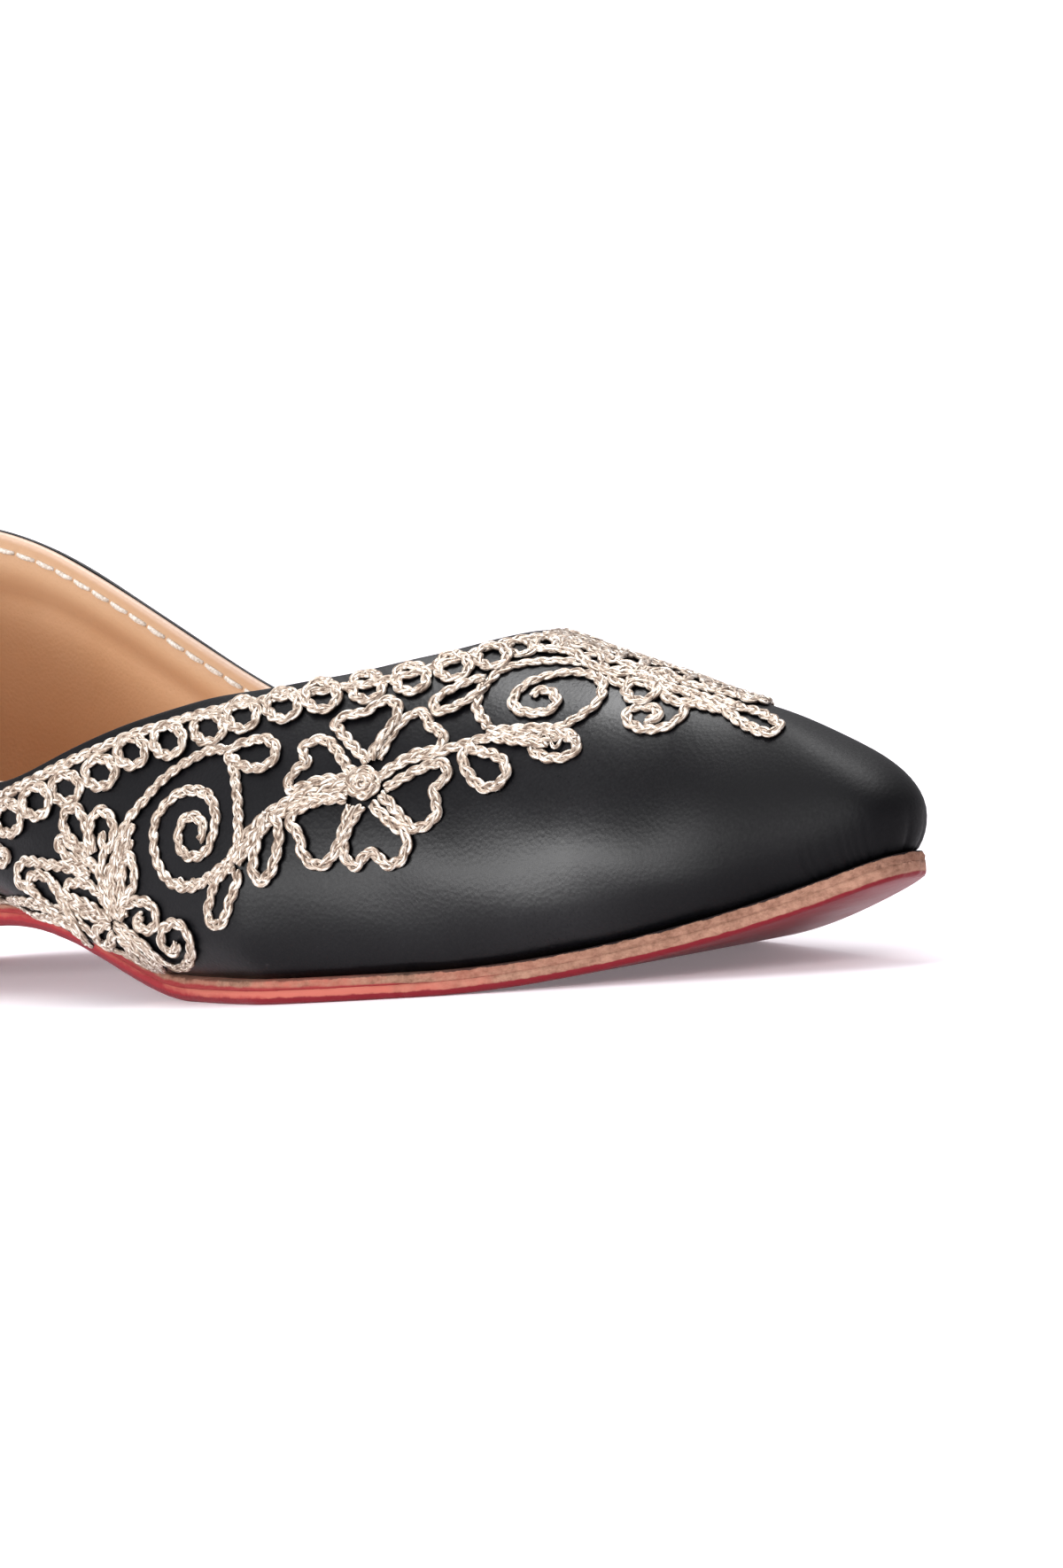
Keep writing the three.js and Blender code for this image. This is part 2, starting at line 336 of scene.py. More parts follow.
# Shader sums: a wire is a socket that can be added, multiplied and so on
class Wire:
    def __init__(self, board, socket):
        self.board = board
        self.socket = socket

    def sum(self, operation, first, second):
        return self.board.node("ShaderNodeMath", {"operation": operation}, {0: first, 1: second})

    def __add__(self, other):
        return self.sum("ADD", self, other)

    def __sub__(self, other):
        return self.sum("SUBTRACT", self, other)

    def __rsub__(self, other):
        return self.sum("SUBTRACT", other, self)

    def __mul__(self, other):
        return self.sum("MULTIPLY", self, other)

    def __truediv__(self, other):
        return self.sum("DIVIDE", self, other)

    def __rtruediv__(self, other):
        return self.sum("DIVIDE", other, self)

    __radd__ = __add__
    __rmul__ = __mul__


class Board:    # one material and its nodes
    def __init__(self, name, **constants):
        self.material = bpy.data.materials.new(name)
        self.material.use_nodes = True
        self.tree = self.material.node_tree
        self.shader = next(n for n in self.tree.nodes if n.type == "BSDF_PRINCIPLED")
        for label, value in constants.items():
            self.shader.inputs[label.replace("_", " ")].default_value = value

    def node(self, kind, settings, sockets, out=0):
        made = self.tree.nodes.new(kind)
        for label, value in settings.items():
            if label == "stops":
                while len(made.color_ramp.elements) < len(value):
                    made.color_ramp.elements.new(0.5)
                for element, (place, shade) in zip(made.color_ramp.elements, value):
                    element.position = place
                    element.color = (shade, shade, shade, 1)
            else:
                setattr(made, label, value)
        for label, value in sockets.items():
            if isinstance(value, Wire):
                self.tree.links.new(value.socket, made.inputs[label])
            else:
                made.inputs[label].default_value = value
        return Wire(self, made.outputs[out])

    def place(self):
        return self.node("ShaderNodeTexCoord", {}, {}, "Object")

    def axis(self, name):
        return self.node("ShaderNodeSeparateXYZ", {}, {0: self.place()}, name)

    def stretched(self, scale):
        return self.node("ShaderNodeVectorMath", {"operation": "MULTIPLY"}, {0: self.place(), 1: scale})

    def noise(self, scale, detail=3, rough=0.55, at=None):
        sockets = {"Vector": at or self.place(), "Scale": scale, "Detail": detail, "Roughness": rough}
        return self.node("ShaderNodeTexNoise", {}, sockets)

    def cells(self, scale):
        sockets = {"Vector": self.place(), "Scale": scale}
        return self.node("ShaderNodeTexVoronoi", {}, sockets, "Distance")

    def value(self, label):
        return self.node("ShaderNodeAttribute", {"attribute_name": label}, {}, "Fac")

    def ramp(self, wire, stops):
        return self.node("ShaderNodeValToRGB", {"stops": stops}, {0: wire})

    def mix(self, factor, first, second):
        return self.node("ShaderNodeMix", {"data_type": "RGBA"}, {0: factor, 6: first, 7: second}, 2)

    def graded(self, wire, stops, first, second):    # a mix that follows a ramp
        return self.mix(self.ramp(wire, stops), first, second)

    def bump(self, height, strength, depth):
        return self.node("ShaderNodeBump", {}, {"Strength": strength, "Distance": depth, "Height": height})

    def feed(self, **wires):
        for label, wire in wires.items():
            self.tree.links.new(wire.socket, self.shader.inputs[label.replace("_", " ")])
        return self.material


def rgb(red, green, blue):    # screen values to a linear colour
    shares = (c / 255 for c in (red, green, blue))
    return tuple(s / 12.92 if s < 0.0404 else ((s + 0.055) / 1.055) ** 2.4 for s in shares) + (1,)


# Black upper leather
blackLeather = {
    "dark": rgb(6, 6, 8),
    "worn": rgb(14, 14, 17),
    # painted shade colour, mixed in towards the toe
    "deep": rgb(3, 3, 5),
    "fleck": rgb(74, 72, 74),
    "poreScale": 1500,
    "cloudScale": 60,
    "fineScale": 2200,
    "fleckScale": 420,
    "grainStrength": 0.4,
    "grainDepth": 0.00012,
    "roughness": 0.3,
    "gloss": 0.12,
    "coatRoughness": 0.36,
    # along the shoe, as places between x 0 and 125 mm: painted shade makes the toe darker, and the toe and
    # the waist are duller
    "depth": ((0.55, 0), (0.85, 0.85)),
    "dullness": ((0.25, 0.1), (0.45, 0.03), (0.6, 0), (0.72, 0.1), (0.84, 0.26)),
    "polish": ((0.25, 0.06), (0.45, 0.12), (0.6, 0.28), (0.7, 0.1), (0.8, 0)),
}


def blackFinish():
    look = blackLeather
    board = Board("black_leather", Specular_IOR_Level=look["gloss"], Coat_Roughness=look["coatRoughness"])
    pores = board.cells(look["poreScale"])
    cloud = board.noise(look["cloudScale"], 4)
    fine = board.noise(look["fineScale"], 4)
    toward = board.axis("X") / (last["toeX"] * mm)
    color = board.graded(cloud, ((0.35, 0), (0.75, 0.6)), look["dark"], look["worn"])
    # painted shade: the leather is darker towards the toe
    color = board.graded(toward, look["depth"], color, look["deep"])
    flecks = board.noise(look["fleckScale"], 6, 0.7)
    color = board.graded(flecks, ((0.7, 0), (0.78, 0.35)), color, look["fleck"])
    dull = board.ramp(toward, look["dullness"]) + (fine - 0.5) * 0.2 + (cloud - 0.5) * 0.08
    polish = board.ramp(toward, look["polish"]) * board.ramp(fine, ((0.3, 0.6), (0.7, 1)))
    height = pores * 0.5 + fine * 0.4
    return board.feed(
        Base_Color=color,
        Roughness=look["roughness"] + dull,
        Coat_Weight=polish,
        Normal=board.bump(height, look["grainStrength"], look["grainDepth"]),
    )


# Tan lining leather
tanLining = {
    "mid": rgb(228, 182, 138),
    "lit": rgb(236, 194, 152),
    "dark": rgb(180, 130, 92),
    "cut": rgb(206, 176, 152),
    "rim": rgb(188, 158, 130),
    "cloudScale": 45,
    "poreScale": 1700,
    "wrinkleScale": 700,
    "grainStrength": 0.3,
    "grainDepth": 0.0001,
    "roughness": 0.5,
    "gloss": 0.35,
}


def liningFinish():
    look = tanLining
    board = Board("lining_leather", Specular_IOR_Level=look["gloss"])
    cloud = board.noise(look["cloudScale"], 4, 0.6)
    pores = board.cells(look["poreScale"])
    deep = board.value("deep")
    color = board.graded(cloud, ((0.3, 0), (0.7, 1)), look["mid"], look["lit"])
    color = board.mix(board.ramp(pores, ((0, 0.6), (0.22, 0))) * 0.6, color, look["dark"])
    # painted shade along the pressed groove
    color = board.mix(board.value("pressed"), color, look["dark"])
    # painted shade: the lining darkens deeper down inside the shoe
    color = board.graded(deep, ((0.3, 0), (1, 0.6)), color, look["dark"])
    color = board.graded(deep, ((0.04, 0.7), (0.3, 0)), color, look["rim"])
    color = board.mix(board.value("edge"), color, look["cut"])
    height = pores + board.noise(look["wrinkleScale"], 4) * 0.6
    return board.feed(
        Base_Color=color,
        Roughness=look["roughness"] + (cloud - 0.5) * 0.2,
        Normal=board.bump(height, look["grainStrength"], look["grainDepth"]),
    )


# Sole edges and underside
soleLook = {
    "raw": rgb(162, 122, 102),
    "rawDark": rgb(112, 76, 60),
    "red": rgb(140, 38, 44),
    "pink": rgb(176, 96, 82),
    "crimson": rgb(114, 22, 32),
    "glue": rgb(34, 26, 26),
    "fibreScale": 700,
    "fibreStretch": (0.8, 0.8, 1.3),
    "randRoughness": 0.85,
    "randGloss": 0.2,
    "outsoleRoughness": 0.62,
    "outsoleGloss": 0.15,
    # in mm along the shoe: where each begins and how far it takes to reach its full share
    "smeared": (-10, 100),
    "unpainted": (15, 70),
    "glued": (5, 70),
    "worn": (-10, 100),
    "leftRaw": (48, 18),
    "redBelow": (75, 40),
}


def soleStart(board):    # raw leather, its fibres, and the way along the shoe in mm
    fibres = board.noise(soleLook["fibreScale"], 6, 0.75, board.stretched(soleLook["fibreStretch"]))
    raw = board.graded(fibres, ((0.3, 0), (0.6, 1)), soleLook["rawDark"], soleLook["raw"])
    return raw, fibres, board.axis("X") / mm


def fromPlace(toward, name):
    start, run = soleLook[name]
    return (toward - start) / run


def randFinish():
    look = soleLook
    board = Board("rand_leather", Specular_IOR_Level=look["randGloss"], Roughness=look["randRoughness"])
    color, fibres, toward = soleStart(board)
    rise = board.value("rise")
    middle = board.ramp(fromPlace(toward, "smeared"), ((0.1, 0.2), (0.35, 1), (0.6, 0.5), (0.9, 0)))
    smear = board.noise(90, 4) + board.noise(500, 3) * 0.3
    color = board.mix(board.ramp(smear, ((0.55, 0), (0.72, 0.85))) * middle, color, look["pink"])
    unpainted = board.ramp(fromPlace(toward, "unpainted"), ((0, 0), (1, 0.8)))
    low = rise + (board.noise(150, 4) - 0.5) * 0.6 + unpainted
    color = board.graded(low, ((0.4, 0.9), (0.6, 0)), color, look["red"])
    ragged = board.ramp(rise + (board.noise(420, 4, 0.65) - 0.5) * 0.55, ((0.84, 0), (0.9, 1)))
    glued = board.ramp(fromPlace(toward, "glued"), ((0, 0.3), (1, 1)))
    color = board.mix(ragged * glued, color, look["glue"])
    return board.feed(Base_Color=color, Normal=board.bump(fibres, 0.8, 0.0005))


def outsoleFinish():
    look = soleLook
    board = Board("sole_leather", Specular_IOR_Level=look["outsoleGloss"])
    raw, fibres, toward = soleStart(board)
    patch = board.noise(120, 4)
    toward = toward + (patch - 0.5) * 40
    rise = board.value("rise") + (board.noise(500, 4, 0.6) - 0.5) * 0.3
    worn = board.ramp(fromPlace(toward, "worn"), ((0, 0), (0.35, 0.35), (0.7, 0.4)))
    pinkness = rise * 0.6 + patch * 0.5 + worn
    paint = board.graded(pinkness, ((0.75, 0), (0.95, 1)), look["red"], look["pink"])
    side = board.graded(fromPlace(toward, "leftRaw"), ((0, 0), (1, 1)), paint, raw)
    under = rise + board.ramp(fromPlace(toward, "redBelow"), ((0, 0), (1, 0.3)))
    isUnder = board.ramp(under, ((0.55, 1), (0.68, 0)))
    rough = isUnder * -0.25 + look["outsoleRoughness"] + (patch - 0.5) * 0.2
    color = board.mix(isUnder, side, look["crimson"])
    return board.feed(Base_Color=color, Roughness=rough, Normal=board.bump(fibres, 0.35, 0.0003))


# Stacked heel
heelLook = {
    "lift": 3.1,    # mm, one layer
    "gloss": 0.4,
    "roughness": 0.6,
    "fibreScale": 400,
    "fibreStretch": (0.35, 0.35, 1.6),
}


def heelFinish():
    board = Board("heel_leather", Specular_IOR_Level=heelLook["gloss"])
    fibres = board.noise(heelLook["fibreScale"], 6, 0.7, board.stretched(heelLook["fibreStretch"]))
    patch = board.noise(100, 4)
    color = board.graded(patch, ((0.35, 0), (0.7, 1)), soleLook["red"], soleLook["pink"])
    layers = board.axis("Z") / (heelLook["lift"] * mm) + (fibres - 0.5) * 0.12
    share = board.node("ShaderNodeMath", {"operation": "FRACT"}, {0: layers})
    color = board.graded(share, ((0, 0.9), (0.15, 0)), color, soleLook["rawDark"])
    rough = heelLook["roughness"] + (patch - 0.5) * 0.2
    return board.feed(Base_Color=color, Roughness=rough, Normal=board.bump(fibres, 0.4, 0.0003))


# Metallic braid and sewing thread
metalCord = {
    # the white streaks are painted glints, and the deep colour is painted shade in the weave
    "white": rgb(228, 221, 210),
    "pale": rgb(168, 152, 136),
    "mid": rgb(112, 93, 78),
    "deep": rgb(44, 32, 26),
    "metal": 0.3,
    "gloss": 0.35,
    "streakLength": 1.5,    # mm
    "streaksRound": 5.0,    # across one strand's round
}


def cordFinish():
    look = metalCord
    board = Board("metallic_cord", Metallic=look["metal"], Specular_IOR_Level=look["gloss"])
    along = board.value("along") / look["streakLength"]
    around = board.value("around") * look["streaksRound"]
    streak = board.noise(1.0, 2, 0.6, board.node("ShaderNodeCombineXYZ", {}, {0: along, 1: around}))
    # painted glints: streaks along the threads from mid through pale to white
    color = board.graded(streak, ((0.4, 0), (0.48, 1)), look["mid"], look["pale"])
    color = board.graded(streak, ((0.53, 0), (0.6, 1)), color, look["white"])
    # painted shade where a strand lies low in the weave
    sunk = board.value("top") + (streak - 0.5) * 0.5
    color = board.graded(sunk, ((0.42, 1), (0.68, 0)), color, look["deep"])
    rough = 0.55 - streak * 0.3
    return board.feed(Base_Color=color, Roughness=rough, Normal=board.bump(streak, 0.6, 0.00015))


sewingThread = {
    "shade": rgb(196, 184, 168),
    "white": rgb(240, 236, 228),
    "twistScale": 2500,
    "roughness": 0.8,
}


def threadFinish():
    board = Board("white_thread", Roughness=sewingThread["roughness"])
    twist = board.noise(sewingThread["twistScale"], 3)
    color = board.graded(twist, ((0.35, 0), (0.65, 1)), sewingThread["shade"], sewingThread["white"])
    return board.feed(Base_Color=color, Normal=board.bump(twist, 0.5, 0.0001))


finishes = {
    "black": blackFinish(),
    "lining": liningFinish(),
    "rand": randFinish(),
    "outsole": outsoleFinish(),
    "heel": heelFinish(),
    "cord": cordFinish(),
    "thread": threadFinish(),
}
print("finishes mixed:", len(finishes))


# The upper: black leather outside and tan lining inside, each with its own thickness
upperSkin = {
    "leatherThick": 0.75,
    "wallThick": 2.2,
    "liningStart": 0.8,
    "liningDrop": 0.12,
    "liningDropPower": 6,
    # painted shade: over this drop below the topline, in mm, the lining darkens fully
    "shadeDrop": 34.0,
    "pressedDrop": 9.0,
    "pressedWide": 2.2,
    "pressedDepth": 0.6,
    "besideShare": 0.6,
    # how dark the painted shade along the pressed groove is
    "pressedShade": 0.55,
    "rimSteps": 5,
    "edgeTint": 0.6,
    "unevenness": 0.12,
    "pleatX": 106.0,
    "pleatEase": 1.5,
    "pleatSpacing": 2.1,
    "pleatSpacingSway": 0.5,
    "pleatHigh": 8.0,
    "pleatFadePower": 1.4,
    "pleatDepth": 0.45,
}


def rippled(grid, normal):    # hand-lasted unevenness, and the small pleats over the featherline at the toe
    x, y, z = grid[..., 0], grid[..., 1], grid[..., 2]
    wave = np.sin(x * 0.31 + z * 0.22) * np.sin(y * 0.27 - z * 0.19 + 1.3) + 0.5 * np.sin(x * 0.11 + y * 0.17)
    run = runAlong(grid[0])
    fromToe = np.minimum(run, run[-1] - run)
    above = z - grid[0][None, :, 2]
    reach = np.clip(1 - above / upperSkin["pleatHigh"], 0, 1) ** upperSkin["pleatFadePower"]
    nearToe = 1 / (1 + np.exp((upperSkin["pleatX"] - grid[0][:, 0]) / upperSkin["pleatEase"]))
    spacing = upperSkin["pleatSpacing"] + upperSkin["pleatSpacingSway"] * np.sin(fromToe * 0.6)
    pleat = np.abs(np.sin(math.pi * fromToe / spacing)) ** 0.6 - 0.6
    shift = upperSkin["unevenness"] * wave + upperSkin["pleatDepth"] * reach * (pleat * nearToe)[None, :]
    return grid + normal * shift[..., None]


outerSkin = rippled(outerGrid, outerNormal)
outerSkin[0] = outerGrid[0]


def joinRows(faces, low, high, count, wanted=None):
    for i in range(count):
        if wanted is None or wanted[i]:
            n = (i + 1) % count
            faces.append((low + i, low + n, high + n, high + i))


def shellPiece(name, outer, inner, finish, pressed=None, deep=None):
    rows, count = outer.shape[:2]
    points = list(outer.reshape(-1, 3)) + list(inner.reshape(-1, 3))
    faces = []
    for r in range(rows - 1):
        joinRows(faces, r * count, (r + 1) * count, count)
        joinRows(faces, (rows + r + 1) * count, (rows + r) * count, count)
    joinRows(faces, rows * count, 0, count)
    rimSteps = upperSkin["rimSteps"]
    previous = (rows - 1) * count
    middle = (outer[-1] + inner[-1]) / 2
    half = (outer[-1] - inner[-1]) / 2
    high = np.linalg.norm(half, axis=1, keepdims=True)
    for k in range(1, rimSteps):
        angle = math.pi * k / rimSteps
        ring = middle + half * math.cos(angle) + upDirection * high * math.sin(angle)
        start = len(points)
        points += list(ring)
        joinRows(faces, previous, start, count, openColumn)
        previous = start
    joinRows(faces, previous, (2 * rows - 1) * count, count, openColumn)
    values = None
    if pressed is not None:
        rimCount = len(points) - 2 * rows * count
        grid = np.zeros((rows, count))
        grid[-1] = upperSkin["edgeTint"]
        edge = np.concatenate([grid.ravel(), grid.ravel(), np.ones(rimCount)])
        # painted shade on the lining: along the pressed groove, and deeper inside the shoe
        sunk = np.concatenate([np.zeros(rows * count), pressed.ravel(), np.zeros(rimCount)])
        shadeDepth = np.concatenate([np.zeros(rows * count), deep.ravel(), np.zeros(rimCount)])
        values = {"edge": edge, "pressed": sunk, "deep": shadeDepth}
    return linkPiece(name, points, faces, finish, values, division["weld"])


upDirection = unit(outerGrid[-1] - outerGrid[-2])


def makeUpper():
    inner = outerSkin - outerNormal * upperSkin["leatherThick"]
    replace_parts(shellPiece("leather_upper", outerSkin, inner, finishes["black"]), "upper")
    isOpen = np.array(openColumn)[None, :]
    share = np.linspace(0, 1, outerGrid.shape[0])[:, None, None] ** upperSkin["liningDropPower"]
    lowered = upDirection[None] * upperSkin["liningDrop"] * share * isOpen[..., None]
    liningOut = outerGrid - outerNormal * upperSkin["liningStart"] - lowered
    liningIn = outerGrid - outerNormal * upperSkin["wallThick"] - lowered
    steps = np.linalg.norm(np.diff(liningIn[::-1], axis=0), axis=2)
    drop = np.concatenate([np.zeros((1, ringCount)), np.cumsum(steps, axis=0)])[::-1]
    apart = (drop - upperSkin["pressedDrop"]) / upperSkin["pressedWide"]
    pressed = np.exp(-apart ** 2) * isOpen
    raised = np.exp(-(apart + 2) ** 2) * isOpen    # the skin stands up a little above the pressed line
    relief = (pressed - upperSkin["besideShare"] * raised) * upperSkin["pressedDepth"]
    liningIn = liningIn + outerNormal * relief[..., None]
    # painted shade along the pressed groove
    grooveShade = pressed * upperSkin["pressedShade"]
    # how far down the wall each point lies, for the lining's painted shade
    deep = np.clip(drop / upperSkin["shadeDrop"], 0, 1)
    shellPiece("lining", liningOut, liningIn, finishes["lining"], grooveShade, deep)


makeUpper()
print("upper made")


# Sole pieces: rings that follow the outline
soleSizes = {
    "roughness": 0.16,
    "randInset": 0.15,
    # inset, height, and the share of the edge that its paint is read from
    "outsoleLevels": (
        (0.9, 0, 0), (0.35, 0.2, 0.1), (0.05, 0.6, 0.3), (0, 1.0, 0.6), (0, 1.6, 0.85), (0, 2.15, 1)),
    # the inset counts on from the rand's own, but for the first, which meets the outsole
    "randLevels": ((-0.15, 2.12, 0), (-0.1, 2.5, 0.3), (-0.12, 2.9, 0.5), (0, 3.3, 0.75), (0.25, 3.7, 1)),
    "lowSeed": 11,
    "randSeed": 20,
    "slabWeld": 0.002,
    "insoleWeld": 0.005,
    "insoleCorner": math.radians(50),
    "insoleRound": 0.45,
    "insoleSegments": 3,
}


def soleRing(inset, height, rough=0, seed=0):
    points = []
    for x in stations:
        edge, out = outlineStation(x)
        flat = edge - out * inset
        points.append((flat.x, flat.y, underside(flat.x) + height))
    ring = mirrored(np.array(points)[None])[0]
    if rough:
        ring = ring + roughStep(ring, rough, seed)
    return ring


def roughStep(ring, amount, seed):    # a torn edge: small seeded steps outward and inward
    chance = np.random.default_rng(seed)
    lumps = chance.normal(0, 1, (len(ring), 1))
    lumps = (lumps + np.roll(lumps, 1, axis=0) + np.roll(lumps, -1, axis=0)) / 2
    run = np.roll(ring, -1, axis=0) - np.roll(ring, 1, axis=0)
    away = unit(np.stack([run[:, 1], -run[:, 0]], axis=1))
    return np.concatenate([away * lumps * amount, lumps * 0], axis=1)


def slabPiece(name, rings, finish, values):
    count = len(rings[0])
    points = [p for ring in rings for p in ring]
    faces = []
    for r in range(len(rings) - 1):
        joinRows(faces, r * count, (r + 1) * count, count)
    top = (len(rings) - 1) * count
    for i in range(count // 2):
        far = (count - i) % count
        nextFar = count - i - 1
        for base in (0, top):
            corners = [base + far, base + i, base + i + 1, base + nextFar]
            faces.append(tuple(dict.fromkeys(corners)))
    faces = [f for f in faces if len(f) > 2]
    return linkPiece(name, points, faces, finish, values, soleSizes["slabWeld"])


def makeSole():
    rough = soleSizes["roughness"]
    low = soleSizes["lowSeed"]
    levels = soleSizes["outsoleLevels"]
    rings = [soleRing(inset, height, rough / 2 if height else 0, low) for inset, height, rise in levels]
    rise = [rise for inset, height, rise in levels for _ in range(ringCount)]
    outsole = slabPiece("sole", rings, finishes["outsole"], {"rise": rise})
    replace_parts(outsole, "outsole")
    levels = soleSizes["randLevels"]
    rings = []
    for k, (extra, height, rise) in enumerate(levels):
        seed = soleSizes["randSeed"] + k if rise else low
        rings.append(soleRing(soleSizes["randInset"] + extra, height, rough if rise else rough / 2, seed))
    rise = [rise for extra, height, rise in levels for _ in range(ringCount)]
    rand = slabPiece("rand_strip", rings, finishes["rand"], {"rise": rise})
    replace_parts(rand, "rand")


def makeInsole():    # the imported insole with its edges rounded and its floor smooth
    work = bmesh.new()
    work.from_mesh(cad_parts["insole"].data)
    bmesh.ops.remove_doubles(work, verts=work.verts, dist=soleSizes["insoleWeld"] * mm)
    corner = soleSizes["insoleCorner"]
    sharp = [e for e in work.edges if len(e.link_faces) == 2 and e.calc_face_angle() > corner]
    offset = soleSizes["insoleRound"] * mm
    segments = soleSizes["insoleSegments"]
    bmesh.ops.bevel(work, geom=sharp, offset=offset, segments=segments, profile=0.5, affect="EDGES")
    work.verts.index_update()
    points = [v.co / mm for v in work.verts]
    faces = [tuple(v.index for v in f.verts) for f in work.faces]
    work.free()
    insole = linkPiece("insole_leather", points, faces, finishes["lining"])
    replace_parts(insole, "insole")


makeSole()
makeInsole()
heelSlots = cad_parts["heel"].data.materials
heelSlots.clear()
heelSlots.append(finishes["heel"])
print("sole made")


# Embroidery. Cords are laid where the photograph's pixels fall on the leather, and mirrored across the shoe
braid = {
    "swing": 0.6,        # mm from the middle line to a strand's furthest place
    "wide": 0.43,        # mm, half of a strand's width
    "thick": 0.34,       # mm, half of a strand's thickness
    "lift": 0.26,
    "weave": 0.12,
    "period": 7.2,       # mm for one full plait
    "step": 0.4,
    "strands": 3,
    "sides": 7,
    "endSize": 0.6,
    "stagger": 0.12,     # where cords cross, each lies a little higher than the one before
    "staggers": 4,
    "strandShift": 31.7,    # mm between the places where the strands' glints are read
    "lineShift": 97.3,
    "thread": 0.34,      # the loose zigzag threads
    "curveSteps": 10,
    "ridgeWide": 2.5,
    "tipX": 96.0,        # the leaf at the tip is single
    "insideZ": 15.0,     # a height inside the shoe, to tell outward from inward
}


def makeSkinTree():
    faces = []
    for r in range(outerSkin.shape[0] - 1):
        joinRows(faces, r * ringCount, (r + 1) * ringCount, ringCount)
    return BVHTree.FromPolygons([Vector(p) for p in outerSkin.reshape(-1, 3)], faces)


skinTree = makeSkinTree()


def onLeather(px, py):    # where the ray through a photo pixel meets the upper
    right, up, back = cameraAxes()
    target = Vector(view["target"])
    eye = target + back * view["distance"]
    for nudge in view["nudges"]:
        across = (px - view["photoWide"] / 2) / view["pixelsPerMm"]
        above = (view["photoHigh"] / 2 - (py + nudge)) / view["pixelsPerMm"]
        aim = (target + right * across + up * above - eye).normalized()
        hit = skinTree.ray_cast(eye, aim)
        if hit[0] is not None:
            return hit[0]
    return None


def rounded(points):    # a smooth line through hand-set points
    pts = [Vector(p) for p in points]
    n = len(pts)
    if n < 3:
        return [pts[0].lerp(pts[-1], k / 8) for k in range(9)]
    steps = braid["curveSteps"]
    out = []
    for i in range(n - 1):
        p1, p2 = pts[i], pts[i + 1]
        p0 = pts[i - 1] if i > 0 else p1 * 2 - p2
        p3 = pts[i + 2] if i + 2 < n else p2 * 2 - p1
        square = 2 * p0 - 5 * p1 + 4 * p2 - p3
        cube = 3 * p1 - p0 - 3 * p2 + p3
        for t in (k / steps for k in range(steps)):
            out.append(0.5 * ((2 * p1) + (p2 - p0) * t + square * t * t + cube * t ** 3))
    out.append(pts[-1])
    return out


cordLines = []    # each is a list of points on the near side in mm, and its thickness as a share


def layPixels(points, size=1):
    line = [onLeather(p[0], p[1]) for p in rounded([(x, y, 0) for x, y in points])]
    line = [p for p in line if p is not None]
    if len(line) > 2:
        cordLines.append((line, size))


def beside(points, offset):    # the same pixel line, moved sideways
    moved = []
    for i, p in enumerate(points):
        a = points[max(i - 1, 0)]
        b = points[min(i + 1, len(points) - 1)]
        dx, dy = b[0] - a[0], b[1] - a[1]
        size = math.hypot(dx, dy) or 1
        moved.append((p[0] - dy / size * offset, p[1] + dx / size * offset))
    return moved
